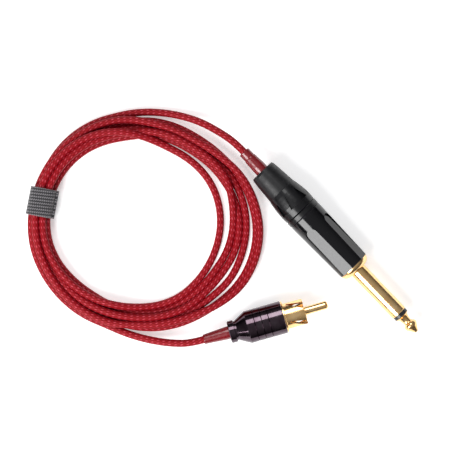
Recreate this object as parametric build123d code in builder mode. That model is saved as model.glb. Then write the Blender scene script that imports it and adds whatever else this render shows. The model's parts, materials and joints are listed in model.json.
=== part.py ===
from build123d import *
import os
from math import atan, cos, degrees, pi, radians, sin, tan

# Instrument cable: a coiled, braided lead held by a woven tie, with a 6.35 mm mono jack plug
# at one end and a phono plug at the other. Millimetres; the surface it lies on is z = 0.
# Along each plug, a station is the distance from the plug's rear end towards its tip.

# --- Fits ---
RUNNING = 0.05  # radial clearance of a part that turns or slides on another
SEATED = 0.02  # radial clearance of a part fixed in another
END_GAP = 0.10  # axial gap between faces that turn against each other
PASSING = 0.30  # radial clearance of a cover that slides back over the cable

# --- Cable ---
CABLE_R = 1.4
CORE_R = 0.9
WIRE_R = 0.55
TAIL_R = 0.40
TAIL_OUT = 1.35  # how far the twisted screen lies from the middle of the cable
BARE_CORE = 2.0  # core beyond the stripped jacket
SHRINK_TAIL = 10.0  # heat shrink that shows behind each plug

# --- Coil ---
COIL_CENTRE = (-68.2, 11.6)
# (angle in degrees, radius) of the coil's outside, and of the hole in it
COIL_EDGE = [
    (0, 45.5), (30, 41.8), (60, 39.4), (82, 40.3), (105, 42.9), (135, 43.7), (180, 43.5),
    (225, 43.4), (250, 43.7), (270, 42.3), (300, 43.0), (320, 45.2), (341, 46.9),
]
HOLE_EDGE = [
    (0, 28.1), (30, 28.3), (60, 28.2), (90, 30.1), (120, 33.1), (150, 34.8), (180, 35.1),
    (205, 34.2), (230, 32.0), (255, 31.0), (290, 30.6), (315, 29.0), (340, 28.1),
]
COIL_LOW = 5.0  # height where the turns fan out
COIL_SOFTEN = 1.9  # rounding of its top edges

# --- Tie ---
TIE_ANGLE = 168.9
TIE_LENGTH = 10.8
TIE_WALL = 1.1
BUNDLE_WIDTH = 8.5
BUNDLE_HEIGHT = 7.65
BUNDLE_RADIUS = 39.15  # from the middle of the coil to the middle of the tied bundle
TIE_CORNER = 2.6

# --- Jack plug: place and lengths ---
JACK_REAR = (-22.8, 31.0)
JACK_HEADING = -46.05
BOOT_L = 10.3
NUT_L = 10.6
MARKER_L = 2.2
SHELL_L = 26.7
COLLAR_L = 2.3
SHAFT_L = 22.6
TIP_RING_L = 1.5
TIP_L = 8.4
# --- Jack plug: inside ---
JACK_SHRINK_WALL = 1.23
CHUCK_WALL = 1.45
SPIGOT_WALL = 0.92
SPIGOT_L = 8.3
JACK_PITCH = 1.0
JACK_THREADS = 6
THREAD_DEPTH = 0.35
NUT_WALL = 1.8
NUT_REAR_WALL = 1.7
NUT_CONE_L = 2.0
SHELL_TAPER = 0.55  # how much the shell's radius falls towards the front
SHELL_LIP = 3.5
SHELL_WALL = 1.1
FLAT_DEPTH = 0.48
FLAT_WIDTH = 5.0
FLAT_TOP = 4.8  # from the shell's rear end to the top of each arched flat
FLAT_ANGLE = 32.0
GRIPS = 8
GRIP_ANGLE = 7.0
GRIP_WIDTH = 3.5
GRIP_L = 5.5
GRIP_DEPTH = 0.95
SHAFT_R = 3.175
SHAFT_BORE = 2.2
ROD_R = 1.2
INSERT_L = 7.0  # part of the contact body inside the shell
WASHER_T = 0.7
LUG_T = 0.55
LUG_REACH = 16.5  # from the contact body to the rear end of its cable clamp
CLAMP_L = 2.5

# --- Phono plug: place and lengths ---
RCA_REAR = (-35.3, -30.2)
RCA_HEADING = 15.8
RING_L = 2.4
NECK_L = 0.7
CONE_L = 4.0
BARREL_L = 14.4
FLANGE_L = 0.6
SHIELD_L = 7.6
PIN_FREE = 9.0  # pin beyond the shield
RING_R = 4.3
NECK_R = 3.75
BARREL_R = 6.3
# --- Phono plug: inside ---
RCA_SHRINK_WALL = 1.08
SHRINK_END_WALL = 0.45
BARREL_WALL = 0.9
SLEEVE_WALL = 0.4
RCA_PITCH = 0.75
RCA_THREADS = 6
RCA_THREAD_DEPTH = 0.25
SHIELD_R = 4.95
SHIELD_BORE = 4.15
SHIELD_FLOOR = 0.7
SLOT_ANGLE = -36.0  # from the top of the shield to its first slot
SLOT_ROOT = (1.9, 2.4)  # the slot's two sides at its closed end, across the shield
SLOT_MOUTH = (-2.7, 0.7)  # and at its open end
BUSH_R = 3.2
PIN_R = 1.6
PIN_SHANK_R = 1.3  # inside its bush
CUP_BORE = 1.1
CUP_WALL = 0.75
CUP_DEPTH = 3.0
CUP_REACH = 3.5  # from the body to the rear end of the solder cup
RCA_LUG_REACH = 8.8  # from the body to the rear end of its cable clamp
RCA_CLAMP_L = 2.4


def upright(rear, height, heading, nose_down):
    """Upright plane through a plug's axis: x is the station, y is the radius upwards."""
    along = Vector(1, 0, 0).rotate(Axis.Y, nose_down).rotate(Axis.Z, heading)
    across = Vector(0, -1, 0).rotate(Axis.Z, heading)
    return Plane(origin=(*rear, height), x_dir=along, z_dir=across)


def outline(side, points):
    """Closed outline of (station, radius) points, ready to be revolved."""
    with BuildSketch(side) as face:
        with BuildLine():
            Polyline(*points, close=True)
        make_face()
    return face.sketch


def tube(start, end, outer, inner=0):
    """Outline points of a plain tube, or of a rod when it has no bore."""
    return [(start, inner), (end, inner), (end, outer), (start, outer)]


def threads(start, radius, pitch, count, depth):
    """Outline points of plain V rings that stand for a thread."""
    points = []
    for turn in range(count):
        crest = start + turn * pitch
        points += [(crest, radius), (crest + pitch / 2, radius - depth)]
    return points + [(start + count * pitch, radius)]


def bend_radii(points):
    """One radius for each corner: as large an arc as its two runs allow."""
    corners = [Vector(*p) for p in points]
    radii = []
    for before, here, after in zip(corners, corners[1:], corners[2:]):
        run_in, run_out = here - before, after - here
        half_turn = radians(run_in.get_angle(run_out)) / 2
        radii.append(0.45 * min(run_in.length, run_out.length) / tan(half_turn))
    return radii


def outwards(side, angle):
    """Plane through a plug's axis that faces out, at an angle from its top towards its right side."""
    turn = radians(angle)
    return Plane(
        origin=side.origin, x_dir=side.x_dir, z_dir=side.y_dir * cos(turn) + side.z_dir * sin(turn),
    )


def on_axis(side, station):
    """Point on a plug's axis."""
    here = side.from_local_coords(Vector(station, 0, 0))
    return (here.X, here.Y, here.Z)


def out_of(angle, radius):
    """Point of the coil in plan, from its middle."""
    turn = radians(angle)
    return (COIL_CENTRE[0] + radius * cos(turn), COIL_CENTRE[1] + radius * sin(turn))


# ---------------------------------------------------------------------------
# Jack plug
# ---------------------------------------------------------------------------
jack_shrink_r = CABLE_R + SEATED + JACK_SHRINK_WALL
boot_bore = jack_shrink_r + PASSING
boot_neck = boot_bore + 0.5
chuck_bore = jack_shrink_r + 2 * RUNNING
chuck_r = chuck_bore + CHUCK_WALL
spigot_bore = chuck_r + 2 * RUNNING
spigot_r = spigot_bore + SPIGOT_WALL
nut_bore = spigot_r + RUNNING
nut_r = nut_bore + NUT_WALL
shell_rear_r = nut_r - 0.06
shell_front_r = shell_rear_r - SHELL_TAPER
insert_r = shell_front_r - 1.55
collar_r = shell_front_r - 0.2

nut_rear = BOOT_L
nut_front = nut_rear + NUT_L
marker_rear = nut_front + END_GAP
marker_front = marker_rear + MARKER_L
shell_rear = marker_front
shell_front = shell_rear + SHELL_L
collar_front = shell_front + COLLAR_L
shaft_front = collar_front + SHAFT_L
tip_rear = shaft_front + TIP_RING_L
tip_end = tip_rear + TIP_L
spigot_rear = shell_rear - SPIGOT_L
insert_rear = shell_front - INSERT_L

# The plug rests on both ends of the tapered shell.
taper = degrees(atan(SHELL_TAPER / SHELL_L))
jack_height = (shell_rear_r + shell_rear * sin(radians(taper))) / cos(radians(taper))
jack = upright(JACK_REAR, jack_height, JACK_HEADING, taper)
jack_axis = Axis(jack.origin, jack.x_dir)

with BuildPart() as jack_boot:
    boot_r = nut_r - 1.05  # at its front end
    revolve(outline(jack, [
        (0, boot_bore), (nut_rear + NUT_REAR_WALL, boot_bore), (nut_rear + NUT_REAR_WALL, boot_neck),
        (nut_rear, boot_neck), (nut_rear, boot_r), (0.35 * BOOT_L, boot_r - 0.55),
        (0.08 * BOOT_L, boot_r - 0.85), (0, boot_r - 1.25),
    ]), axis=jack_axis)
jack_boot.part.label = "jack_boot"

cone_rear = nut_rear + NUT_REAR_WALL
cone_front = cone_rear + NUT_CONE_L
with BuildPart() as jack_gland_nut:
    revolve(outline(jack, [
        (nut_rear, boot_neck + SEATED), (cone_rear, boot_neck + SEATED), (cone_front, spigot_bore),
        (cone_front + 0.5, nut_bore), (nut_front, nut_bore), (nut_front, nut_r - 0.3),
        (nut_front - 0.2, nut_r - 0.1), (nut_front - 0.23 * NUT_L, nut_r),
        (nut_rear + 0.62 * NUT_L, nut_r - 0.06), (nut_rear + 0.47 * NUT_L, nut_r - 0.22),
        (nut_rear + 0.32 * NUT_L, nut_r - 0.42), (nut_rear + 0.17 * NUT_L, nut_r - 0.66),
        (nut_rear + 0.15, nut_r - 1.0), (nut_rear, nut_r - 1.15),
    ]), axis=jack_axis)
    grip_base = nut_front - 0.26 * NUT_L
    for grip in range(GRIPS):
        facing = GRIP_ANGLE + grip * 360 / GRIPS
        with BuildSketch(outwards(jack, facing).offset(nut_r - GRIP_DEPTH)):
            with BuildLine():
                Polyline(
                    (grip_base - GRIP_L, 0), (grip_base, GRIP_WIDTH / 2),
                    (grip_base, -GRIP_WIDTH / 2), close=True,
                )
            make_face()
        extrude(amount=2 * GRIP_DEPTH, mode=Mode.SUBTRACT)
jack_gland_nut.part.label = "jack_gland_nut"

with BuildPart() as jack_marker_ring:
    edge = 0.25
    revolve(outline(jack, [
        (marker_rear, nut_bore), (marker_front, nut_bore), (marker_front, shell_rear_r - edge),
        (marker_front - edge, shell_rear_r), (marker_rear + edge, shell_rear_r),
        (marker_rear, shell_rear_r - edge),
    ]), axis=jack_axis)
jack_marker_ring.part.label = "jack_marker_ring"

shell_bore = shell_front_r - SHELL_WALL
bore_start = shell_rear + 1.7
lip_start = shell_front - SHELL_LIP
with BuildPart() as jack_shell:
    revolve(outline(jack, [
        (spigot_rear, spigot_bore), (bore_start, spigot_bore), (bore_start + 0.7, shell_bore),
        (lip_start, shell_bore), (lip_start, insert_r + SEATED), (shell_front, insert_r + SEATED),
        (shell_front, shell_front_r), (shell_rear + 0.25, shell_rear_r), (shell_rear, shell_rear_r - 0.25),
        (shell_rear, spigot_r),
        *reversed(threads(spigot_rear + 0.3, spigot_r, JACK_PITCH, JACK_THREADS, THREAD_DEPTH)),
        (spigot_rear, spigot_r - 0.3),
    ]), axis=jack_axis)
    flat_l = SHELL_L - FLAT_TOP
    for flat in range(4):
        facing = FLAT_ANGLE + flat * 90
        with BuildSketch(outwards(jack, facing).offset(shell_front_r - FLAT_DEPTH)):
            with Locations((shell_front - (flat_l - FLAT_WIDTH / 2) / 2 + 1, 0)):
                Rectangle(flat_l - FLAT_WIDTH / 2 + 2, FLAT_WIDTH)
            with Locations((shell_rear + FLAT_TOP + FLAT_WIDTH / 2, 0)):
                Circle(FLAT_WIDTH / 2)
        extrude(amount=SHELL_TAPER + 2 * FLAT_DEPTH, mode=Mode.SUBTRACT)
jack_shell.part.label = "jack_shell"

chuck_rear = cone_rear + 0.3
chuck_front = cone_front + 7.8
with BuildPart() as jack_chuck:
    revolve(outline(jack, [
        (chuck_rear, chuck_bore), (chuck_front, chuck_bore), (chuck_front, chuck_r),
        (cone_front + 0.05, chuck_r), (chuck_rear, boot_neck + SEATED),
    ]), axis=jack_axis)
    slit_l = chuck_front - chuck_rear - 2.5
    for slit in (0, 90):
        with BuildSketch(outwards(jack, slit)):
            with Locations((chuck_rear + slit_l / 2, 0)):
                Rectangle(slit_l, 3 * chuck_r)
        extrude(amount=0.4, both=True, mode=Mode.SUBTRACT)
jack_chuck.part.label = "jack_chuck"

with BuildPart() as jack_ground_sleeve:
    with BuildSketch(jack):
        with BuildLine():
            dome_start = (shell_front + 0.45, collar_r)
            dome_end = (collar_front, collar_r - 1.8)
            Polyline(
                (shaft_front, SHAFT_R - 0.15), (shaft_front, SHAFT_BORE), (insert_rear, SHAFT_BORE),
                (insert_rear, insert_r), (shell_front, insert_r), (shell_front, collar_r), dome_start,
            )
            ThreePointArc(dome_start, (shell_front + 1.55, collar_r - 0.62), dome_end)
            Polyline(
                dome_end, (collar_front - 0.1, SHAFT_R + 0.75), (collar_front + 0.25, SHAFT_R),
                (shaft_front - 0.15, SHAFT_R), (shaft_front, SHAFT_R - 0.15),
            )
        make_face()
    revolve(axis=jack_axis)
jack_ground_sleeve.part.label = "jack_ground_sleeve"

rod_bore = ROD_R + SEATED
tip_tube_rear = insert_rear - WASHER_T
with BuildPart() as jack_tip_insulator:
    tube_r = SHAFT_BORE - SEATED
    revolve(outline(jack, [
        (tip_tube_rear, rod_bore), (tip_rear, rod_bore), (tip_rear, SHAFT_R - 0.3),
        (tip_rear - 0.1, SHAFT_R - 0.2), (shaft_front, SHAFT_R - 0.2), (shaft_front, tube_r),
        (tip_tube_rear, tube_r),
    ]), axis=jack_axis)
jack_tip_insulator.part.label = "jack_tip_insulator"

spacer_rear = tip_tube_rear - 1.6
spacer_r = SHAFT_BORE + 0.7
with BuildPart() as jack_rear_insulator:
    revolve(outline(jack, tube(spacer_rear, tip_tube_rear, spacer_r, rod_bore)), axis=jack_axis)
jack_rear_insulator.part.label = "jack_rear_insulator"

lug_rear = spacer_rear - WASHER_T
rod_front = tip_rear + 1.7
with BuildPart() as jack_centre_rod:
    head_r = ROD_R + 0.65
    revolve(outline(jack, [
        (lug_rear - 0.8, 0), (rod_front, 0), (rod_front, ROD_R), (lug_rear, ROD_R),
        (lug_rear, head_r), (lug_rear - 0.8, head_r - 0.3),
    ]), axis=jack_axis)
jack_centre_rod.part.label = "jack_centre_rod"

with BuildPart() as jack_tip:
    with BuildSketch(jack):
        with BuildLine():
            waist = (tip_end - 5.4, 1.65)
            Polyline(
                (tip_end, 0), (rod_front + 0.1, 0), (rod_front + 0.1, rod_bore), (tip_rear, rod_bore),
                (tip_rear, SHAFT_R - 0.3), (tip_rear + 0.15, SHAFT_R - 0.35), (tip_rear + 0.65, 2.2),
            )
            ThreePointArc((tip_rear + 0.65, 2.2), (tip_end - 6.55, 1.78), waist)
            ThreePointArc(waist, (tip_end - 4.75, 1.87), (tip_end - 4.4, 2.35))
            ThreePointArc((tip_end - 4.4, 2.35), (tip_end - 3.55, 2.66), (tip_end - 2.7, 2.4))
            Line((tip_end - 2.7, 2.4), (tip_end - 0.5, 0.9))
            ThreePointArc((tip_end - 0.5, 0.9), (tip_end - 0.14, 0.66), (tip_end, 0.3))
            Line((tip_end, 0.3), (tip_end, 0))
        make_face()
    revolve(axis=jack_axis)
jack_tip.part.label = "jack_tip"

# The solder lugs' arms lie above and below the axis, and the lower one ends in a crimp clamp.
clamp_rear = insert_rear - LUG_REACH
clamp_front = clamp_rear + CLAMP_L
jack_shrink_front = clamp_front + 0.2
jack_jacket_end = jack_shrink_front + 0.3
clamp_in = jack_shrink_r + SEATED
clamp_out = clamp_in + 0.7
with BuildPart() as jack_ground_lug:
    revolve(outline(jack, tube(tip_tube_rear, insert_rear, insert_r - 0.25, SHAFT_BORE + 0.1)), axis=jack_axis)
    revolve(outline(jack, tube(clamp_rear, clamp_front, clamp_out, clamp_in)), axis=jack_axis)
    with BuildSketch(jack):
        with Locations(((clamp_rear + insert_rear) / 2, -clamp_out + 0.05 - LUG_T / 2)):
            Rectangle(insert_rear - clamp_rear, LUG_T)
    extrude(amount=1.6, both=True)
    with BuildSketch(jack):
        with Locations(((clamp_rear + clamp_front) / 2, clamp_out)):
            Rectangle(clamp_front - clamp_rear + 1, 2 * clamp_out - 1.2)
    extrude(amount=1.5, both=True, mode=Mode.SUBTRACT)
jack_ground_lug.part.label = "jack_ground_lug"

tip_arm_y = ROD_R + 0.8
with BuildPart() as jack_tip_lug:
    revolve(outline(jack, tube(lug_rear, spacer_rear, tip_arm_y + LUG_T, rod_bore)), axis=jack_axis)
    with BuildSketch(jack):
        with Locations((lug_rear - 2.8, tip_arm_y + LUG_T / 2)):
            Rectangle(6.4, LUG_T)
    extrude(amount=1.3, both=True)
jack_tip_lug.part.label = "jack_tip_lug"

with BuildPart() as jack_heat_shrink:
    bore = CABLE_R + SEATED
    revolve(outline(jack, [
        (-SHRINK_TAIL, bore), (jack_shrink_front, bore), (jack_shrink_front, jack_shrink_r),
        (-2.5, jack_shrink_r), (-6.6, jack_shrink_r - 0.25), (-7.0, jack_shrink_r - 0.42),
        (-SHRINK_TAIL + 0.2, jack_shrink_r - 0.45), (-SHRINK_TAIL, jack_shrink_r - 0.55),
    ]), axis=jack_axis)
jack_heat_shrink.part.label = "jack_heat_shrink"

jack_core_end = jack_jacket_end + BARE_CORE
with BuildPart() as cable_end_at_jack:
    revolve(outline(jack, [
        (-SHRINK_TAIL, 0), (jack_core_end, 0), (jack_core_end, CORE_R), (jack_jacket_end, CORE_R),
        (jack_jacket_end, CABLE_R), (-SHRINK_TAIL, CABLE_R),
    ]), axis=jack_axis)
cable_end_at_jack.part.label = "cable_end_at_jack"

with BuildPart() as jack_hot_wire:
    wire_y = tip_arm_y - WIRE_R - SEATED
    with BuildLine(jack):
        FilletPolyline(
            (jack_core_end, 0), (jack_core_end + 1.0, 0), (jack_core_end + 2.8, wire_y),
            (lug_rear - 1.2, wire_y), radius=1.0,
        )
    with BuildSketch(Plane(origin=on_axis(jack, jack_core_end), z_dir=jack.x_dir)):
        Circle(WIRE_R)
    sweep()
jack_hot_wire.part.label = "jack_hot_wire"

with BuildPart() as jack_shield_tail:
    tail_y = -(clamp_out - 0.05 - TAIL_R - SEATED)
    tail_start = jack_jacket_end + SEATED
    with BuildLine(jack) as tail_route:
        FilletPolyline(
            (tail_start, -TAIL_OUT), (tail_start + 1.2, -TAIL_OUT), (tail_start + 3.2, tail_y),
            (tail_start + 6.0, tail_y), radius=1.0,
        )
    with BuildSketch(Plane(origin=tail_route.line @ 0, z_dir=jack.x_dir)):
        Circle(TAIL_R)
    sweep()
jack_shield_tail.part.label = "jack_shield_tail"

# ---------------------------------------------------------------------------
# Phono plug
# ---------------------------------------------------------------------------
rca_shrink_r = CABLE_R + SEATED + RCA_SHRINK_WALL
ring_bore = rca_shrink_r + PASSING
cavity_r = BARREL_R - BARREL_WALL
sleeve_r = cavity_r - RUNNING
sleeve_bore = sleeve_r - SLEEVE_WALL
rca_thread_r = cavity_r - RUNNING

cone_start = RING_L + NECK_L
barrel_rear = cone_start + CONE_L
barrel_front = barrel_rear + BARREL_L
flange_rear = barrel_front + END_GAP
flange_front = flange_rear + FLANGE_L
shield_front = flange_front + SHIELD_L
pin_end = shield_front + PIN_FREE
thread_rear = flange_rear - RCA_THREADS * RCA_PITCH - 0.3

rca = upright(RCA_REAR, BARREL_R, RCA_HEADING, 0)
rca_axis = Axis(rca.origin, rca.x_dir)

with BuildPart() as rca_barrel:
    groove_w, groove_d = 0.3, 0.2
    grooves = []
    for groove in (3.2, 5.95, 8.7):
        middle = barrel_rear + groove
        grooves += [
            (middle - groove_w / 2, BARREL_R), (middle, BARREL_R - groove_d), (middle + groove_w / 2, BARREL_R),
        ]
    revolve(outline(rca, [
        (0, ring_bore), (cone_start + 0.4, ring_bore), (barrel_rear + 0.4, cavity_r),
        (barrel_front, cavity_r), (barrel_front, BARREL_R - 0.2), (barrel_front - 0.2, BARREL_R),
        *reversed(grooves),
        (barrel_rear + 0.15, BARREL_R), (barrel_rear, BARREL_R - 0.1), (cone_start, NECK_R + 0.2),
        (cone_start, NECK_R), (RING_L, NECK_R), (RING_L, RING_R - 0.15), (RING_L - 0.15, RING_R),
        (0.25, RING_R), (0, RING_R - 0.25),
    ]), axis=rca_axis)
rca_barrel.part.label = "rca_barrel"

sleeve_rear = barrel_rear + 0.9
sleeve_front = thread_rear - 0.4
with BuildPart() as rca_insulating_sleeve:
    revolve(outline(rca, tube(sleeve_rear, sleeve_front, sleeve_r, sleeve_bore)), axis=rca_axis)
rca_insulating_sleeve.part.label = "rca_insulating_sleeve"

bush_bore = BUSH_R + SEATED
with BuildPart() as rca_body:
    revolve(outline(rca, [
        (thread_rear, bush_bore), (flange_front, bush_bore), (flange_front, BARREL_R - 0.4),
        (flange_front - 0.15, BARREL_R - 0.25), (flange_rear, BARREL_R - 0.25), (flange_rear, rca_thread_r),
        *reversed(threads(thread_rear + 0.2, rca_thread_r, RCA_PITCH, RCA_THREADS, RCA_THREAD_DEPTH)),
        (thread_rear, rca_thread_r - 0.2),
    ]), axis=rca_axis)
rca_body.part.label = "rca_body"

floor_front = flange_front + SHIELD_FLOOR
with BuildPart() as rca_shield:
    revolve(outline(rca, [
        (flange_front, bush_bore), (floor_front, bush_bore), (floor_front, SHIELD_BORE),
        (shield_front, SHIELD_BORE), (shield_front, SHIELD_R - 0.2), (shield_front - 0.2, SHIELD_R),
        (flange_front, SHIELD_R),
    ]), axis=rca_axis)
    # Four slanted V cuts leave four springy leaves.
    slot_root = floor_front + 0.5
    for leaf in range(4):
        facing = SLOT_ANGLE + leaf * 90
        with BuildSketch(outwards(rca, facing)):
            with BuildLine():
                Polyline(
                    (slot_root, SLOT_ROOT[1]), (slot_root, SLOT_ROOT[0]),
                    (shield_front + 1, SLOT_MOUTH[0]), (shield_front + 1, SLOT_MOUTH[1]), close=True,
                )
            make_face()
        extrude(amount=SHIELD_R + 1, mode=Mode.SUBTRACT)
rca_shield.part.label = "rca_shield"

pin_bore = PIN_SHANK_R + SEATED
bush_rear = thread_rear + 1.2
bush_front = floor_front + 1.3
with BuildPart() as rca_dielectric:
    revolve(outline(rca, [
        (bush_rear, pin_bore), (bush_front, pin_bore), (bush_front, SHIELD_BORE - SEATED),
        (floor_front, SHIELD_BORE - SEATED), (floor_front, BUSH_R), (bush_rear, BUSH_R),
    ]), axis=rca_axis)
rca_dielectric.part.label = "rca_dielectric"

cup_rear = thread_rear - CUP_REACH
with BuildPart() as rca_centre_pin:
    with BuildSketch(rca):
        with BuildLine():
            Polyline(
                (pin_end, 0), (cup_rear + CUP_DEPTH, 0), (cup_rear + CUP_DEPTH, CUP_BORE),
                (cup_rear, CUP_BORE), (cup_rear, CUP_BORE + CUP_WALL),
                (cup_rear + CUP_DEPTH + 0.6, CUP_BORE + CUP_WALL), (cup_rear + CUP_DEPTH + 0.6, PIN_SHANK_R),
                (bush_front, PIN_SHANK_R), (bush_front, PIN_R), (pin_end - 1.0, PIN_R),
            )
            ThreePointArc((pin_end - 1.0, PIN_R), (pin_end - 0.3, PIN_R - 0.35), (pin_end, PIN_R - 1.1))
            Line((pin_end, PIN_R - 1.1), (pin_end, 0))
        make_face()
    revolve(axis=rca_axis)
rca_centre_pin.part.label = "rca_centre_pin"

rca_clamp_in = rca_shrink_r + SEATED
rca_clamp_out = rca_clamp_in + 0.7
rca_clamp_rear = thread_rear - RCA_LUG_REACH
rca_clamp_front = rca_clamp_rear + RCA_CLAMP_L
washer_rear = thread_rear - WASHER_T
with BuildPart() as rca_ground_clamp:
    revolve(outline(rca, tube(washer_rear, thread_rear, sleeve_bore - 0.3, bush_bore)), axis=rca_axis)
    revolve(outline(rca, tube(rca_clamp_rear, rca_clamp_front, rca_clamp_out, rca_clamp_in)), axis=rca_axis)
    with BuildSketch(rca):
        with Locations(((rca_clamp_rear + thread_rear) / 2, 0.05 - rca_clamp_out - LUG_T / 2)):
            Rectangle(thread_rear - rca_clamp_rear, LUG_T)
    extrude(amount=1.6, both=True)
    with BuildSketch(rca):
        with Locations(((rca_clamp_rear + rca_clamp_front) / 2, rca_clamp_out)):
            Rectangle(rca_clamp_front - rca_clamp_rear + 1, 2 * rca_clamp_out - 1.2)
    extrude(amount=1.5, both=True, mode=Mode.SUBTRACT)
rca_ground_clamp.part.label = "rca_ground_clamp"

rca_shrink_front = rca_clamp_front + 0.2
with BuildPart() as rca_heat_shrink:
    bore = CABLE_R + SEATED
    revolve(outline(rca, [
        (-SHRINK_TAIL, bore), (rca_shrink_front, bore), (rca_shrink_front, rca_shrink_r), (-1, rca_shrink_r),
        (-SHRINK_TAIL + 0.2, bore + SHRINK_END_WALL), (-SHRINK_TAIL, bore + SHRINK_END_WALL - 0.1),
    ]), axis=rca_axis)
rca_heat_shrink.part.label = "rca_heat_shrink"

rca_jacket_end = rca_shrink_front + 0.3
rca_core_end = cup_rear - 0.4
with BuildPart() as cable_end_at_rca:
    revolve(outline(rca, [
        (-SHRINK_TAIL, 0), (rca_core_end, 0), (rca_core_end, CORE_R), (rca_jacket_end, CORE_R),
        (rca_jacket_end, CABLE_R), (-SHRINK_TAIL, CABLE_R),
    ]), axis=rca_axis)
cable_end_at_rca.part.label = "cable_end_at_rca"

with BuildPart() as rca_hot_wire:
    revolve(outline(rca, tube(rca_core_end, cup_rear + CUP_DEPTH - 0.2, WIRE_R)), axis=rca_axis)
rca_hot_wire.part.label = "rca_hot_wire"

with BuildPart() as rca_shield_tail:
    rca_tail_y = -(rca_clamp_out - 0.05 - TAIL_R - SEATED)
    rca_tail_start = rca_jacket_end + SEATED
    with BuildLine(rca) as rca_tail_route:
        FilletPolyline(
            (rca_tail_start, -TAIL_OUT), (rca_tail_start + 0.6, -TAIL_OUT), (rca_tail_start + 1.6, rca_tail_y),
            (washer_rear - SEATED, rca_tail_y), radius=0.6,
        )
    with BuildSketch(Plane(origin=rca_tail_route.line @ 0, z_dir=rca.x_dir)):
        Circle(TAIL_R)
    sweep()
rca_shield_tail.part.label = "rca_shield_tail"

# ---------------------------------------------------------------------------
# Coil, its tie and the two free ends
# ---------------------------------------------------------------------------
bundle_top = TIE_WALL + BUNDLE_HEIGHT
tie_middle = out_of(TIE_ANGLE, BUNDLE_RADIUS)
with BuildPart() as cable_coil:
    with BuildSketch():
        with BuildLine():
            Spline(*[out_of(angle, radius) for angle, radius in COIL_EDGE], periodic=True)
        make_face()
        with BuildLine():
            Spline(*[out_of(angle, radius) for angle, radius in HOLE_EDGE], periodic=True)
        make_face(mode=Mode.SUBTRACT)
    extrude(amount=bundle_top)
    # The top slopes from the tied bundle down to the fanned turns opposite it.
    fall = (bundle_top - COIL_LOW) / 75
    split(bisect_by=Plane(
        origin=(*tie_middle, bundle_top), x_dir=(1, 0, -fall), z_dir=(fall, 0, 1),
    ), keep=Keep.BOTTOM)
    fillet(faces().sort_by(Axis.Z)[-1].edges(), COIL_SOFTEN)
    fillet(faces().sort_by(Axis.Z)[0].edges(), 0.6 * COIL_SOFTEN)
    # The tie passes under the bundle.
    with BuildSketch(Plane(origin=(*tie_middle, 0), x_dir=(cos(radians(TIE_ANGLE)), sin(radians(TIE_ANGLE)), 0))):
        Rectangle(3 * BUNDLE_WIDTH, TIE_LENGTH + 1)
    extrude(amount=TIE_WALL, mode=Mode.SUBTRACT)
cable_coil.part.label = "cable_coil"

with BuildPart() as cable_tie:
    along_bundle = Vector(0, 1, 0).rotate(Axis.Z, TIE_ANGLE)
    across_bundle = Vector(1, 0, 0).rotate(Axis.Z, TIE_ANGLE)
    tie_height = BUNDLE_HEIGHT + 2 * TIE_WALL
    with BuildSketch(Plane(
        origin=(*tie_middle, tie_height / 2), x_dir=across_bundle, z_dir=along_bundle,
    )):
        RectangleRounded(BUNDLE_WIDTH + 2 * TIE_WALL, tie_height, TIE_CORNER + TIE_WALL)
        RectangleRounded(BUNDLE_WIDTH, BUNDLE_HEIGHT, TIE_CORNER, mode=Mode.SUBTRACT)
    extrude(amount=TIE_LENGTH / 2, both=True)
cable_tie.part.label = "cable_tie"

LYING = CABLE_R + 0.02  # height of the cable's middle where it lies on the surface
jack_points = [
    on_axis(jack, -SHRINK_TAIL),
    on_axis(jack, -SHRINK_TAIL - 5),
    (*out_of(50, 44.9), 6.1),
    (*out_of(60, 44.0), 3.8),
    (*out_of(70, 43.1), 2.0),
    (*out_of(80.5, 42.4), LYING),
    (*out_of(91, 42.0), LYING),
    (*out_of(101, 41.2), LYING),
]
with BuildPart() as cable_lead_jack:
    with BuildLine() as jack_route:
        FilletPolyline(*jack_points, radius=bend_radii(jack_points))
    with BuildSketch(Plane(origin=jack_route.line @ 0, z_dir=jack_route.line % 0)):
        Circle(CABLE_R)
    sweep()
cable_lead_jack.part.label = "cable_lead_jack"

rca_points = [
    on_axis(rca, -SHRINK_TAIL),
    on_axis(rca, -SHRINK_TAIL - 5.5),
    (*out_of(283.5, 47.3), 5.1),
    (*out_of(276.5, 45.6), 3.0),
    (*out_of(269, 44.1), 1.7),
    (*out_of(260.5, 42.7), LYING),
    (*out_of(252, 41.6), LYING),
]
with BuildPart() as cable_lead_rca:
    with BuildLine() as rca_route:
        FilletPolyline(*rca_points, radius=bend_radii(rca_points))
    with BuildSketch(Plane(origin=rca_route.line @ 0, z_dir=rca_route.line % 0)):
        Circle(CABLE_R)
    sweep()
cable_lead_rca.part.label = "cable_lead_rca"

# ---------------------------------------------------------------------------
os.makedirs("parts", exist_ok=True)
pieces = [
    jack_boot, jack_gland_nut, jack_marker_ring, jack_shell, jack_chuck, jack_ground_sleeve,
    jack_tip_insulator, jack_rear_insulator, jack_centre_rod, jack_tip, jack_ground_lug,
    jack_tip_lug, jack_heat_shrink, cable_end_at_jack, jack_hot_wire, jack_shield_tail,
    rca_barrel, rca_insulating_sleeve, rca_body, rca_shield, rca_dielectric, rca_centre_pin,
    rca_ground_clamp, rca_heat_shrink, cable_end_at_rca, rca_hot_wire, rca_shield_tail,
    cable_coil, cable_tie, cable_lead_jack, cable_lead_rca,
]
for piece in pieces:
    export_step(piece.part, f"parts/{piece.part.label}.step")

for name, route, lead, points in (
    ("jack lead", jack_route, cable_lead_jack, jack_points),
    ("phono lead", rca_route, cable_lead_rca, rca_points),
):
    length = route.wires()[0].length
    print(name, "bend radii", [round(r, 1) for r in bend_radii(points)])
    print(name, "length", round(length, 1), "volume share", round(lead.part.volume / (pi * CABLE_R**2 * length), 4))
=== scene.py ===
import json
from math import cos, pi, radians, sin, sqrt

import bmesh
import bpy
from mathutils import Matrix, Vector


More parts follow.
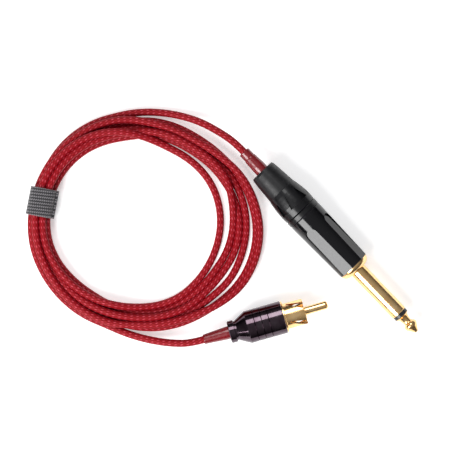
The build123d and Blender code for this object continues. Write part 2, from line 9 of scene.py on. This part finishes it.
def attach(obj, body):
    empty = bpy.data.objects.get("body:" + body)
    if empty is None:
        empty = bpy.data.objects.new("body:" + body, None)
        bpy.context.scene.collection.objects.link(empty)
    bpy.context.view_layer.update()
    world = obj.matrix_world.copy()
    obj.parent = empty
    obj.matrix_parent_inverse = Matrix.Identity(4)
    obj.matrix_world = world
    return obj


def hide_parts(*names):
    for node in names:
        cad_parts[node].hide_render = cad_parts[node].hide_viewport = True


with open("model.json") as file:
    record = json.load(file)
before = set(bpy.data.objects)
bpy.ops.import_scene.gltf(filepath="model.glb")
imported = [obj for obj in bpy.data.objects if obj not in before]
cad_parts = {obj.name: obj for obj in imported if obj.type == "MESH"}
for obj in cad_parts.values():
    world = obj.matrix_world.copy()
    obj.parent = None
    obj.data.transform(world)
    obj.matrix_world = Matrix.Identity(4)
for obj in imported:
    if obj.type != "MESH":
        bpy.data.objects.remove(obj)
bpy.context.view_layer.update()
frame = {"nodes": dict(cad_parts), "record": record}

MM = 0.001
BASE = "plugs_and_cable"

# --- Studio ---
VIEW_MIDDLE = (-35.0 * MM, 8.6 * MM, 0)
VIEW_WIDTH = 175.6 * MM
CAMERA_HEIGHT = 0.95
LIT_POINT = (-0.03, 0.005, 0)  # both soft boxes are turned to it
ROOM_SHADES = ((0.05, 0.01), (0.45, 0.16), (1.0, 0.36))  # place from floor to zenith, brightness
FLOOR_GLOW = 0.42
FLOOR_DROP = 0.1 * MM

# --- Cable ---
CABLE_D = 2.8 * MM
CABLE_R = CABLE_D / 2
LYING = 1.42 * MM  # height of the cable's middle where it lies on the surface
COIL_CENTRE = (-68.2 * MM, 11.6 * MM)
PER_TURN = 24  # route points in one turn
TIE_ANGLE = 168.9
TIE_REACH = 50  # degrees each side of the tie over which the turns rise on to it
LAST_TURN = 7
LAST_TURN_ENDS = 245  # degrees, where the phono plug's lead takes over
FIRST_TURN_STARTS = 455  # degrees, where the jack plug's lead ends
NEST = 0.94  # how close two turns press together, in cable diameters
CARRIERS = 8  # strands of the braid in each direction
FIBRES = 6  # ridges across one strand
BRAID_PITCH = 2.3 * MM
SIDES = 24
CABLE_EXIT = -10  # millimetres from a plug's rear end to where the cable leaves its sleeve

# --- Tie ---
TIE_WALL = 1.1 * MM
TIE_BAND = 0.72 * TIE_WALL
TIE_LENGTH = 10.8 * MM
TIE_START = 215  # degrees round the bundle, on its underside
TIE_LAP = 0.13  # share of one wrap that lies over the tie's own start
TIE_STEPS = 76
TIE_ROWS = 8
SQUARENESS = 2.9  # 2 would make the wrap an ellipse
BUNDLE_WIDTH = 8.5 * MM
BUNDLE_HEIGHT = 7.65 * MM
BUNDLE_RADIUS = 39.15 * MM  # from the coil's middle

# --- Plugs: rear end of each on its axis, its heading and how far its nose dips ---
JACK_REAR = (-22.8 * MM, 31.0 * MM, 7.49 * MM)
JACK_TURN = (0, radians(1.18), radians(-46.05))
RCA_REAR = (-35.3 * MM, -30.2 * MM, 6.3 * MM)
RCA_TURN = (0, 0, radians(15.8))
NUT_EDGES = (10.45, 20.8)  # edges drawn as lighter bands, in millimetres from the jack's rear end
SHELL_EDGES = (23.3, 49.8)


# ---------------------------------------------------------------------------
# Camera, floor and light
# ---------------------------------------------------------------------------
def place(obj, name):
    """Puts a new object in the scene under a plain name."""
    obj.name = name
    bpy.context.scene.collection.objects.link(obj)
    return obj


def make_camera():
    """Looks straight down on the whole cable."""
    camera = place(bpy.data.objects.new("camera", bpy.data.cameras.new("camera")), "camera")
    camera.data.sensor_width = 36
    camera.data.lens = camera.data.sensor_width * CAMERA_HEIGHT / VIEW_WIDTH
    camera.data.clip_start = 0.05
    camera.location = Vector(VIEW_MIDDLE) + Vector((0, 0, CAMERA_HEIGHT))
    bpy.context.scene.camera = camera


def make_softbox(name, position, size, power):
    """A soft box turned to the middle of the cable."""
    lamp = bpy.data.lights.new(name, "AREA")
    lamp.shape = "RECTANGLE"
    lamp.size, lamp.size_y = size
    lamp.energy = power
    box = place(bpy.data.objects.new(name, lamp), name)
    box.location = position
    facing = Vector(LIT_POINT) - Vector(position)
    box.rotation_euler = facing.to_track_quat("-Z", "Y").to_euler()


def make_room():
    """Grey room, darkest at the horizon, that shiny parts mirror."""
    world = bpy.data.worlds.new("room")
    bpy.context.scene.world = world
    world.use_nodes = True
    tree = world.node_tree
    here = tree.nodes.new("ShaderNodeTexCoord")
    axes = tree.nodes.new("ShaderNodeSeparateXYZ")
    ramp = tree.nodes.new("ShaderNodeValToRGB")
    ramp.color_ramp.elements.new(0.5)
    for stop, (position, shade) in zip(ramp.color_ramp.elements, ROOM_SHADES):
        stop.position = position
        stop.color = (shade, shade, 1.03 * shade, 1)
    tree.links.new(here.outputs["Generated"], axes.inputs[0])
    tree.links.new(axes.outputs["Z"], ramp.inputs[0])
    tree.links.new(ramp.outputs[0], tree.nodes["Background"].inputs["Color"])


def make_studio():
    """White floor under soft boxes, the strongest at the lower left."""
    make_room()
    make_softbox("main_softbox", (-0.42, -0.50, 0.62), (0.34, 0.62), 8.5)
    make_softbox("upper_softbox", (-0.15, 0.45, 0.66), (0.30, 0.42), 2.2)
    bpy.context.scene.view_settings.view_transform = "Standard"
    shape = bmesh.new()
    bmesh.ops.create_grid(shape, x_segments=1, y_segments=1, size=3)
    floor = place(bpy.data.objects.new("floor", finished(shape, "floor")), "floor")
    floor.location.z = -FLOOR_DROP
    floor.data.materials.append(floor_paint())


# ---------------------------------------------------------------------------
# Shader values and materials
# ---------------------------------------------------------------------------
class Value:
    """A number that varies over a surface. A sum on it adds the Math node that works it out."""

    def __init__(self, paint, socket):
        self.paint = paint
        self.socket = socket

    def math(self, operation, *terms):
        return self.paint.node("ShaderNodeMath", {"operation": operation}, dict(enumerate(terms)))

    def __add__(self, other):
        return self.math("ADD", self, other)

    def __sub__(self, other):
        return self.math("SUBTRACT", self, other)

    def __rsub__(self, other):
        return self.math("SUBTRACT", other, self)

    def __mul__(self, other):
        return self.math("MULTIPLY", self, other)

    def __truediv__(self, other):
        return self.math("DIVIDE", self, other)

    def __pow__(self, other):
        return self.math("POWER", self, other)

    def __mod__(self, other):
        return self.math("FLOORED_MODULO", self, other)

    def __lt__(self, other):
        return self.math("LESS_THAN", self, other)

    __radd__ = __add__
    __rmul__ = __mul__

    def floor(self):
        return self.math("FLOOR", self)

    def sine(self):
        return self.math("SINE", self)

    def size(self):
        return self.math("ABSOLUTE", self)

    def crown(self):
        """Rises from 0 to 1 and back over each whole step of the value."""
        return 1 - ((self % 1) * 2 - 1).size()


class Paint:
    """A material, with one method that adds any node to it."""

    def __init__(self, name, **fixed):
        self.material = bpy.data.materials.new(name)
        self.material.use_nodes = True
        self.tree = self.material.node_tree
        self.shader = self.tree.nodes["Principled BSDF"]
        for key, value in fixed.items():
            self.shader.inputs[key.replace("_", " ")].default_value = value

    def node(self, kind, settings=None, values=None, output=0):
        """Adds a node: its settings first, then the values or links of its sockets."""
        node = self.tree.nodes.new(kind)
        for key, value in (settings or {}).items():
            setattr(node, key, value)
        for key, value in (values or {}).items():
            if isinstance(value, Value):
                self.tree.links.new(value.socket, node.inputs[key])
            else:
                node.inputs[key].default_value = value
        return Value(self, node.outputs[output])

    def into(self, **values):
        """Feeds values into the surface shader's sockets."""
        for key, value in values.items():
            self.tree.links.new(value.socket, self.shader.inputs[key.replace("_", " ")])
        return self.material

    def where(self, origin=(0, 0, 0), turn=(0, 0, 0)):
        """Object coordinates, taken from an origin and turned with a plug's own axes."""
        here = self.node("ShaderNodeTexCoord", output="Object")
        return self.node("ShaderNodeMapping", {"vector_type": "TEXTURE"}, {
            "Vector": here, "Location": origin, "Rotation": turn,
        })

    def parts(self, vector):
        """The three numbers of a vector."""
        return [self.node("ShaderNodeSeparateXYZ", None, {"Vector": vector}, axis) for axis in "XYZ"]

    def noise(self, vector, scale, detail=2, rough=0.5):
        """Cloudy value, at a scale in grains for each metre."""
        return self.node("ShaderNodeTexNoise", None, {
            "Vector": vector, "Scale": scale, "Detail": detail, "Roughness": rough,
        })

    def stretched(self, vector, factors):
        """A vector with each of its axes drawn out or pressed together."""
        return self.node("ShaderNodeVectorMath", {"operation": "MULTIPLY"}, {0: vector, 1: factors})

    def blend(self, mask, low, high):
        """A colour between two colours."""
        low, high = [v if isinstance(v, Value) else (*v, 1) for v in (low, high)]
        return self.node("ShaderNodeMix", {"data_type": "RGBA"}, {0: mask, 6: low, 7: high}, 2)

    def ranged(self, value, low, high, start=0, end=1):
        """A value stretched from one range to another, and held inside it."""
        return self.node("ShaderNodeMapRange", None, {
            "Value": value, "From Min": start, "From Max": end, "To Min": low, "To Max": high,
        })

    def bump(self, height, depth):
        """Relief of a depth in metres, for the Normal socket."""
        return self.node("ShaderNodeBump", None, {"Height": height, "Distance": depth})


def floor_paint():
    """Matt white that glows a little, so it stays pale under soft light."""
    paint = Paint("pale_floor", Roughness=0.9, Specular_IOR_Level=0.1,
                  Emission_Color=(1, 1, 1, 1), Emission_Strength=FLOOR_GLOW)
    spots = paint.noise(paint.where(), 40)
    return paint.into(Base_Color=paint.blend(spots, (0.93, 0.93, 0.93), (0.95, 0.95, 0.95)))


def braid_paint(name, lengthways):
    """Crimson braid: two sets of strands that pass over and under each other, with painted shade
    between them and painted pink glints on their crowns.
    """
    paint = Paint(name, Specular_IOR_Level=0.20)
    around, along = lengthways(paint)
    first = along / BRAID_PITCH + around * CARRIERS
    second = along / BRAID_PITCH - around * CARRIERS
    over = (first.floor() + second.floor()) % 2
    rise_first = first.crown()
    rise_second = second.crown()
    top = over * (rise_first ** 0.6) * (rise_second * 0.5 + 0.5)
    under = (1 - over) * (rise_second ** 0.6) * (rise_first * 0.5 + 0.5)
    height = top + under
    ridges = 2 * pi * FIBRES
    fibres = (first * ridges).sine() * over + (second * ridges).sine() * (1 - over)
    # Noise that breaks up the painted glints.
    glint_scatter = paint.noise(paint.where(), 900, 3)
    # Painted shade: the crimson is darker where the braid is low, between the strands.
    deep = paint.blend(height, (0.200, 0.0002, 0.0030), (0.385, 0.0008, 0.0085))
    # Painted highlight: pink glint dashes on the crowns of the strands that lie on top.
    painted_glint = over * paint.ranged(rise_first, 0, 1, 0.45, 0.75)
    painted_glint = painted_glint * paint.ranged(rise_second, 0, 1, 0.15, 0.5)
    lit = paint.blend(painted_glint * paint.ranged(glint_scatter, 0.45, 1.0, 0.3, 0.7), deep, (0.66, 0.075, 0.110))
    return paint.into(
        Base_Color=lit,
        Roughness=paint.ranged(height + fibres * 0.1, 0.70, 0.42),
        Normal=paint.bump(height + fibres * 0.07, 0.09 * MM),
    )


def from_uv(paint):
    """Around and along the cable, from its UV map."""
    uv = paint.node("ShaderNodeTexCoord", output="UV")
    around, along, _ = paint.parts(uv)
    return around, along


def from_axis(origin, turn):
    """Around and along a plug's axis."""
    def lengthways(paint):
        along, across, up = paint.parts(paint.where(origin, turn))
        angle = paint.node("ShaderNodeMath", {"operation": "ARCTAN2"}, {0: across, 1: up})
        return angle / (2 * pi), along
    return lengthways


def shrink_paint(name, origin, turn):
    """Glossy dark red sleeve that shows the braid under it."""
    paint = Paint(name, Specular_IOR_Level=0.6, Coat_Weight=0.35, Coat_Roughness=0.12)
    place_on = paint.where(origin, turn)
    around, along = from_axis(origin, turn)(paint)
    first = along / BRAID_PITCH + around * CARRIERS
    second = along / BRAID_PITCH - around * CARRIERS
    ribs = first.crown() * second.crown()
    wavy = paint.noise(place_on, 700, 2)
    scuffs = paint.noise(paint.stretched(place_on, (0.15, 1, 1)), 6000, 3)
    return paint.into(
        Base_Color=paint.blend(wavy, (0.165, 0.0008, 0.004), (0.235, 0.0015, 0.008)),
        Roughness=paint.ranged(scuffs, 0.20, 0.38, 0.3, 0.75),
        Normal=paint.bump(ribs * 0.2 + wavy * 0.25 + scuffs * 0.03, 0.07 * MM),
    )


def rubber_paint(name, origin, turn):
    """Moulded satin rubber, faintly dusty."""
    paint = Paint(name, Specular_IOR_Level=0.45)
    here = paint.where(origin, turn)
    grain = paint.noise(here, 4200, 3)
    dust = paint.noise(here, 1100, 4, 0.65)
    dusty = paint.ranged(dust, 0, 1, 0.55, 0.8)
    return paint.into(
        Base_Color=paint.blend(dusty, (0.004, 0.004, 0.005), (0.016, 0.015, 0.019)),
        Roughness=paint.ranged(dust, 0.34, 0.52, 0.3, 0.7),
        Normal=paint.bump(grain, 0.02 * MM),
    )


def lacquer_paint(name, origin, turn, smooth, rough, deep, light, edges):
    """Black lacquer on turned metal, with fine rubbed lines and lighter edges."""
    paint = Paint(name, Specular_IOR_Level=0.30, Coat_Weight=0.15, Coat_Roughness=0.05)
    here = paint.where(origin, turn)
    along, _, _ = paint.parts(here)
    lines = paint.noise(paint.stretched(here, (1, 0.05, 0.05)), 9000, 3)
    marks = paint.noise(here, 500, 5, 0.7)
    lighter_marks_and_edges = paint.ranged(marks, 0, 1, 0.62, 0.85)
    # Lighter bands along the part's edges, on top of the random lighter marks.
    for edge in edges:
        band = (along - edge * MM).size() < 0.16 * MM
        lighter_marks_and_edges = lighter_marks_and_edges + band * paint.ranged(marks, 0.1, 0.8, 0.35, 0.65)
    return paint.into(
        Base_Color=paint.blend(paint.ranged(lighter_marks_and_edges, 0, 1), deep, light),
        Roughness=paint.ranged(marks * 0.7 + lines * 0.3, smooth, rough, 0.3, 0.7),
        Normal=paint.bump(lines, 0.002 * MM),
    )


def plated_paint(name, origin, turn, light, deep, smooth, rough):
    """Polished plating: turned lines round the axis, faint clouds and small handling marks."""
    paint = Paint(name, Metallic=1.0)
    here = paint.where(origin, turn)
    lines = paint.noise(paint.stretched(here, (1, 0.03, 0.03)), 7000, 3)
    clouds = paint.noise(here, 260, 4, 0.6)
    marks = paint.noise(paint.stretched(here, (0.2, 1, 1)), 3500, 2)
    tone = paint.ranged(clouds * 0.75 + lines * 0.25, 0, 1, 0.35, 0.7)
    return paint.into(
        Base_Color=paint.blend(tone, deep, light),
        Roughness=paint.ranged(clouds * 0.5 + marks * 0.5, smooth, rough, 0.35, 0.7),
        Normal=paint.bump(lines + marks * 0.4, 0.0018 * MM),
    )


def plastic_paint(name, origin, turn, light, deep, smooth=0.25, rough=0.42, glow=0.0):
    """Moulded plastic with a fine skin and faint flow marks."""
    paint = Paint(name, Specular_IOR_Level=0.5, Subsurface_Weight=glow, Subsurface_Scale=0.5 * MM)
    here = paint.where(origin, turn)
    skin = paint.noise(here, 5000, 3)
    flow = paint.noise(paint.stretched(here, (0.3, 1, 1)), 600, 4, 0.6)
    return paint.into(
        Base_Color=paint.blend(paint.ranged(flow, 0, 1, 0.35, 0.7), deep, light),
        Roughness=paint.ranged(flow, smooth, rough, 0.3, 0.7),
        Normal=paint.bump(skin, 0.008 * MM),
    )


def twisted_paint(name, origin, turn):
    """Bare tinned strands, twisted together, with painted shade between them."""
    paint = Paint(name, Metallic=1.0)
    around, along = from_axis(origin, turn)(paint)
    strands = (along / (1.1 * MM) + around * 9).crown()
    here = paint.noise(paint.where(origin, turn), 1800, 3)
    # Painted shade: darker between the strands, the tin's own colour on their crowns.
    return paint.into(
        Base_Color=paint.blend(strands, (0.25, 0.22, 0.19), (0.80, 0.76, 0.71)),
        Roughness=paint.ranged(here, 0.25, 0.45),
        Normal=paint.bump(strands, 0.06 * MM),
    )


def webbing_paint():
    """Charcoal webbing: slanted rows of yarns, each row half a yarn on from the last, with painted
    light and shade on the yarns and a painted highlight along both edges.
    """
    paint = Paint("charcoal_webbing", Specular_IOR_Level=0.35, Sheen_Weight=0.25)
    lengthways, across, _ = paint.parts(paint.node("ShaderNodeTexCoord", output="UV"))
    row = (lengthways + across * 0.30) / (0.72 * MM)
    step = across / (1.15 * MM) + row.floor() * 0.5 + row * 0.45
    yarn = step.crown()
    ridge = row.crown() ** 0.4
    fuzz = paint.noise(paint.where(), 3200, 3)
    # Painted highlight on the yarn crowns and painted shade between the yarns.
    bright = paint.ranged(yarn * ridge + fuzz * 0.3, 0, 1, 0.40, 1.0)
    # Painted highlight: a lighter grey-pink band along both edges of the tie.
    rim = paint.ranged((across / TIE_LENGTH - 0.5).size(), 0, 1, 0.455, 0.49)
    cloth = paint.blend(bright, (0.011, 0.011, 0.013), (0.300, 0.285, 0.300))
    return paint.into(
        Base_Color=paint.blend(rim * paint.ranged(fuzz, 0.3, 0.8), cloth, (0.24, 0.20, 0.21)),
        Roughness=paint.ranged(fuzz, 0.65, 0.9),
        Normal=paint.bump(yarn * ridge + fuzz * 0.2, 0.16 * MM),
    )


def paint_for(slot, origin, turn, side):
    """The finish of one of the record's slots, on one of the plugs."""
    name = f"{side}_{slot}"
    if slot == "red_braid":
        return braid_paint(name, from_axis(origin, turn))
    if slot == "heat_shrink":
        return shrink_paint(name, origin, turn)
    if slot == "boot_rubber":
        return rubber_paint(name, origin, turn)
    if slot == "satin_black":
        return lacquer_paint(name, origin, turn, 0.26, 0.40,
                             (0.004, 0.004, 0.005), (0.022, 0.021, 0.025), NUT_EDGES)
    if slot == "gloss_black":
        return lacquer_paint(name, origin, turn, 0.07, 0.16,
                             (0.0035, 0.0035, 0.0045), (0.030, 0.028, 0.034), SHELL_EDGES)
    if slot == "gold":
        return plated_paint(name, origin, turn, (1.0, 0.73, 0.38), (0.95, 0.58, 0.23), 0.16, 0.28)
    if slot == "bright_brass":
        return plated_paint(name, origin, turn, (0.90, 0.74, 0.46), (0.78, 0.58, 0.30), 0.2, 0.36)
    if slot == "gunmetal":
        return plated_paint(name, origin, turn,
                            (0.120, 0.095, 0.110), (0.060, 0.036, 0.050), 0.07, 0.16)
    if slot == "tinned_copper":
        return twisted_paint(name, origin, turn)
    if slot == "red_insulator":
        return plastic_paint(name, origin, turn,
                             (0.62, 0.045, 0.035), (0.40, 0.015, 0.018), glow=0.2)
    if slot == "wire_insulation":
        return plastic_paint(name, origin, turn, (0.90, 0.88, 0.84), (0.80, 0.78, 0.72))
    if slot == "black_insulator":
        return plastic_paint(name, origin, turn, (0.030, 0.028, 0.030), (0.010, 0.010, 0.011))
    return plastic_paint(name, origin, turn, (0.84, 0.82, 0.76), (0.70, 0.68, 0.60), 0.35, 0.5)


def paint_plugs():
    """Gives every CAD piece its finish, along its own plug's axis."""
    paints = {}
    for row in frame["record"]["subparts"]:
        on_jack = row["node"].startswith("jack") or row["node"].endswith("jack")
        origin, turn = (JACK_REAR, JACK_TURN) if on_jack else (RCA_REAR, RCA_TURN)
        key = (row["material_slot"], "jack" if on_jack else "phono")
        if key not in paints:
            paints[key] = paint_for(key[0], origin, turn, key[1])
        piece = frame["nodes"][row["node"]]
        for holder in piece.material_slots:
            holder.material = paints[key]


def finished(shape, name):
    """Turns a bmesh into a named mesh with smooth shading."""
    mesh = bpy.data.meshes.new(name)
    for face in shape.faces:
        face.smooth = True
    shape.to_mesh(mesh)
    shape.free()
    return mesh


# ---------------------------------------------------------------------------
# The cable's route
# ---------------------------------------------------------------------------
# Inner edge of the coil: angle, and distance from its middle in millimetres.
INNER_EDGE = [
    (0, 28.15), (30, 28.4), (60, 28.2), (75, 28.8), (90, 30.1), (105, 31.6), (120, 33.1),
    (140, 34.4), (169, 34.9), (190, 35.1), (210, 33.9), (230, 32.1), (250, 31.1), (270, 30.8),
    (290, 30.6), (310, 29.3), (335, 28.2),
]
# Where each turn lies, counted in cable diameters out from the inner edge. Turn 0 is the end of the
# jack's lead, and turn 7 the start of the phono plug's. Angles go on past 360 to the tie again.
LAY = {
    169: {1: 2.0, 2: 1.0, 3: 1.5, 4: 0.5, 5: 1.0, 6: 2.0, 7: 2.5},
    200: {1: 1.95, 2: 0.95, 3: 1.45, 4: 0.47, 5: 0.95, 6: 2.1, 7: 2.8},
    230: {1: 2.5, 2: 1.5, 3: 2.0, 4: 0.55, 5: 1.05, 6: 3.0, 7: 3.5},
    251: {1: 2.85, 2: 1.93, 3: 2.0, 4: 1.0, 5: 0.75, 6: 3.3, 7: 3.8},
    270: {1: 3.35, 2: 2.4, 3: 1.95, 4: 1.45, 5: 0.5, 6: 2.9},
    297: {1: 3.92, 2: 3.0, 3: 2.2, 4: 1.42, 5: 0.5, 6: 3.5},
    311: {1: 4.5, 2: 3.3, 3: 2.3, 4: 1.42, 5: 0.48, 6: 4.6},
    326: {1: 5.3, 2: 4.0, 3: 2.6, 4: 1.6, 5: 0.5, 6: 5.75},
    341: {1: 5.6, 2: 4.1, 3: 3.07, 4: 2.05, 5: 0.5, 6: 6.1},
    356: {1: 5.45, 2: 4.08, 3: 3.13, 4: 2.2, 5: 0.5, 6: 5.95},
    371: {1: 4.9, 2: 3.85, 3: 2.85, 4: 2.3, 5: 0.5, 6: 5.35},
    386: {1: 4.3, 2: 3.35, 3: 2.25, 4: 2.65, 5: 0.5, 6: 4.6},
    401: {1: 3.8, 2: 2.85, 3: 1.9, 4: 2.4, 5: 0.5, 6: 3.6},
    416: {1: 3.55, 2: 2.6, 3: 1.65, 4: 2.1, 5: 0.5, 6: 3.1},
    440: {1: 3.4, 2: 2.45, 3: 1.45, 4: 1.93, 5: 0.55, 6: 2.9},
    461: {0: 3.62, 1: 2.55, 2: 1.6, 3: 0.6, 4: 1.1, 5: 1.3, 6: 3.05},
    480: {0: 3.2, 1: 2.25, 2: 1.4, 3: 0.45, 4: 0.95, 5: 1.75, 6: 2.75},
    506: {0: 2.6, 1: 1.6, 2: 1.45, 3: 0.5, 4: 1.0, 5: 2.0, 6: 2.5},
    529: {0: 2.0, 1: 1.0, 2: 1.5, 3: 0.5, 4: 1.0, 5: 2.0, 6: 2.5},
}
# Which turn lies under which, from the lowest up, on the side away from the plugs and after it.
PILED_OUT = [1, 2, 4, 3, 7, 5, 6]
PILED_BACK = [0, 1, 2, 3, 6, 4, 5]


def out_of(angle, radius, height):
    """Point over the coil's plan, from its middle, in metres."""
    turn = radians(angle)
    middle = Vector((*COIL_CENTRE, 0))
    return middle + Vector((radius * cos(turn), radius * sin(turn), height))


def on_axis(origin, turn, station):
    """Point on a plug's axis, in millimetres from its rear end."""
    facing = Matrix.Rotation(turn[2], 3, "Z") @ Matrix.Rotation(turn[1], 3, "Y")
    return Vector(origin) + facing @ Vector((station * MM, 0, 0))


# Route of each lead, from its plug to where it joins the coil.
JACK_LEAD = [
    on_axis(JACK_REAR, JACK_TURN, CABLE_EXIT), on_axis(JACK_REAR, JACK_TURN, -15),
    out_of(50, 44.9 * MM, 6.1 * MM), out_of(60, 44.0 * MM, 3.8 * MM),
    out_of(70, 43.1 * MM, 2.0 * MM), out_of(80.5, 42.4 * MM, LYING), out_of(91, 42.0 * MM, LYING),
]
RCA_LEAD = [
    on_axis(RCA_REAR, RCA_TURN, CABLE_EXIT), on_axis(RCA_REAR, RCA_TURN, -15.5),
    out_of(283.5, 47.3 * MM, 5.1 * MM), out_of(276.5, 45.6 * MM, 3.0 * MM),
    out_of(269, 44.1 * MM, 1.7 * MM), out_of(260.5, 42.7 * MM, LYING),
    out_of(252, 41.6 * MM, LYING),
]


def eased(keys, at):
    """Value at a place between keys, on a smooth line through them."""
    before = max([i for i in range(len(keys) - 1) if keys[i][0] <= at], default=0)
    (x0, y0), (x1, y1) = keys[before], keys[before + 1]
    share = min(max((at - x0) / (x1 - x0), 0), 1)
    span = x1 - x0

    def slope(i):
        low, high = keys[max(i - 1, 0)], keys[min(i + 1, len(keys) - 1)]
        return (high[1] - low[1]) / (high[0] - low[0]) * span

    rest = 1 - share
    return (
        rest * rest * (1 + 2 * share) * y0 + share * share * (3 - 2 * share) * y1
        + share * rest * (rest * slope(before) - share * slope(before + 1))
    )


def inner_edge(angle):
    """Distance of the coil's inner edge from its middle."""
    keys = [(key + lap, radius) for lap in (-360, 0, 360) for key, radius in INNER_EDGE]
    return eased(keys, angle % 360) * MM


def station(angle):
    """Offset and height of every turn that passes this angle, in cable diameters."""
    out = angle < 360
    offsets, heights = {}, {}
    for turn in (PILED_OUT if out else PILED_BACK):
        ended = turn == LAST_TURN and angle > LAST_TURN_ENDS
        if ended or turn == 0 and angle < FIRST_TURN_STARTS:
            continue
        at = eased([(key, row[turn]) for key, row in LAY.items() if turn in row], angle)
        rests = [
            heights[other] + sqrt(NEST**2 - (at - offsets[other])**2)
            for other in heights if abs(at - offsets[other]) < NEST
        ]
        offsets[turn], heights[turn] = at, max(rests, default=0)
    return offsets, heights


def coil_points():
    """Every turn's route points: as many turns as LAY has, each from the tie round to it."""
    first = TIE_ANGLE + 180 / PER_TURN
    angles = [first + i * 360 / PER_TURN for i in range(PER_TURN)]
    placed = {angle: station(angle) for angle in angles}
    points = []
    for turn in range(LAST_TURN + 1):
        for angle in angles:
            offsets, heights = placed[angle]
            if turn not in offsets:
                continue
            from_tie = abs((angle - TIE_ANGLE + 180) % 360 - 180)
            lift = TIE_WALL * max(0, 1 - (from_tie / TIE_REACH) ** 2) ** 2
            radius = (inner_edge(angle) + offsets[turn] * CABLE_D) / cos(pi / PER_TURN)
            points.append(out_of(angle, radius, LYING + heights[turn] * CABLE_D + lift))
    return points


def make_cord():
    """The whole cable, plug to plug, with its six turns: a braided tube along one smooth line."""
    route = JACK_LEAD + coil_points() + RCA_LEAD[::-1]
    curve = bpy.data.curves.new("cable_route", "CURVE")
    curve.dimensions = "3D"
    spline = curve.splines.new("NURBS")
    spline.points.add(len(route) - 1)
    for point, at in zip(spline.points, route):
        point.co = (*at, 1)
    spline.order_u = 3
    spline.use_endpoint_u = True
    spline.resolution_u = 8
    line = place(bpy.data.objects.new("cable_route", curve), "cable_route")
    bpy.context.view_layer.update()
    read = bpy.data.meshes.new_from_object(line)
    path = [vertex.co.copy() for vertex in read.vertices]
    bpy.data.objects.remove(line)
    tube = place(bpy.data.objects.new("braided_cable", tube_mesh(path)), "braided_cable")
    tube.data.materials.append(braid_paint("crimson_braid", from_uv))
    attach(tube, BASE)
    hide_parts("cable_coil", "cable_lead_jack", "cable_lead_rca")
    return tube, path


def tube_mesh(path):
    """A round tube along a path. Its UV map goes once round, and in metres along."""
    shape = bmesh.new()
    layer = shape.loops.layers.uv.new("lengthways")
    run = [0.0]
    for here, after in zip(path, path[1:]):
        run.append(run[-1] + (after - here).length)
    rings = []
    side = Vector((0, 0, 1))
    for i, here in enumerate(path):
        ahead = (path[min(i + 1, len(path) - 1)] - path[max(i - 1, 0)]).normalized()
        side = (side - ahead * side.dot(ahead)).normalized()
        other = ahead.cross(side)
        rings.append([
            shape.verts.new(here + (side * cos(turn) + other * sin(turn)) * CABLE_R)
            for turn in (2 * pi * k / SIDES for k in range(SIDES))
        ])
    for i, (ring, after) in enumerate(zip(rings, rings[1:])):
        for k in range(SIDES):
            corners = ((ring, k, i), (ring, k + 1, i), (after, k + 1, i + 1), (after, k, i + 1))
            face = shape.faces.new([around[j % SIDES] for around, j, _ in corners])
            for loop, (_, j, at) in zip(face.loops, corners):
                loop[layer].uv = (j / SIDES, run[at])
    return finished(shape, "braided_cable")


# ---------------------------------------------------------------------------
# The tie
# ---------------------------------------------------------------------------
def wrap_points():
    """The tie's line round the bundle: a rounded square that steps out over its own start."""
    outwards = Vector((cos(radians(TIE_ANGLE)), sin(radians(TIE_ANGLE)), 0))
    middle = out_of(TIE_ANGLE, BUNDLE_RADIUS, TIE_WALL + BUNDLE_HEIGHT / 2)

    def squared(value):
        return abs(value) ** (2 / SQUARENESS) * (1 if value > 0 else -1)

    points = []
    for i in range(TIE_STEPS + 1):
        share = i / TIE_STEPS * (1 + TIE_LAP)
        turn = radians(TIE_START) - 2 * pi * share
        stepped = max(0.0, min(1.0, (share - 0.97) / 0.06))
        grown = TIE_BAND / 2 + stepped * TIE_BAND * 1.05
        sideways = (BUNDLE_WIDTH / 2 + grown) * squared(cos(turn))
        upwards = (BUNDLE_HEIGHT / 2 + grown) * squared(sin(turn))
        points.append(middle + outwards * sideways + Vector((0, 0, upwards)))
    return points


def make_tie():
    """A woven band that wraps once round the bundle and laps over its own start."""
    shape = bmesh.new()
    layer = shape.loops.layers.uv.new("weave")
    along_cable = Vector((-sin(radians(TIE_ANGLE)), cos(radians(TIE_ANGLE)), 0))
    rows = []
    run = 0.0
    line = wrap_points()
    for before, at in zip(line[:1] + line, line):
        run += (at - before).length
        row = []
        for j in range(TIE_ROWS + 1):
            across = (j / TIE_ROWS - 0.5) * TIE_LENGTH
            row.append((shape.verts.new(at + along_cable * across), run, across + TIE_LENGTH / 2))
        rows.append(row)
    for row, after in zip(rows, rows[1:]):
        for j in range(TIE_ROWS):
            corners = (row[j], row[j + 1], after[j + 1], after[j])
            face = shape.faces.new([corner[0] for corner in corners])
            for loop, (_, u, v) in zip(face.loops, corners):
                loop[layer].uv = (u, v)
    bmesh.ops.recalc_face_normals(shape, faces=shape.faces[:])
    tie = place(bpy.data.objects.new("woven_tie", finished(shape, "woven_tie")), "woven_tie")
    thick = tie.modifiers.new("thickness", "SOLIDIFY")
    thick.thickness = TIE_BAND
    thick.offset = 0
    soft = tie.modifiers.new("soft_edges", "BEVEL")
    soft.width = 0.25 * MM
    soft.segments = 2
    tie.data.materials.append(webbing_paint())
    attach(tie, BASE)
    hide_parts("cable_tie")
    return tie


make_camera()
make_studio()
paint_plugs()
tie = make_tie()
cord, path = make_cord()
fixed_nodes = frame["record"]["behaviour"]["bodies"][BASE]
far_plug = [frame["nodes"][name] for name in fixed_nodes if name.startswith("rca_")]
far_plug += [frame["nodes"][name] for name in ("rca_barrel", "rca_insulating_sleeve")]
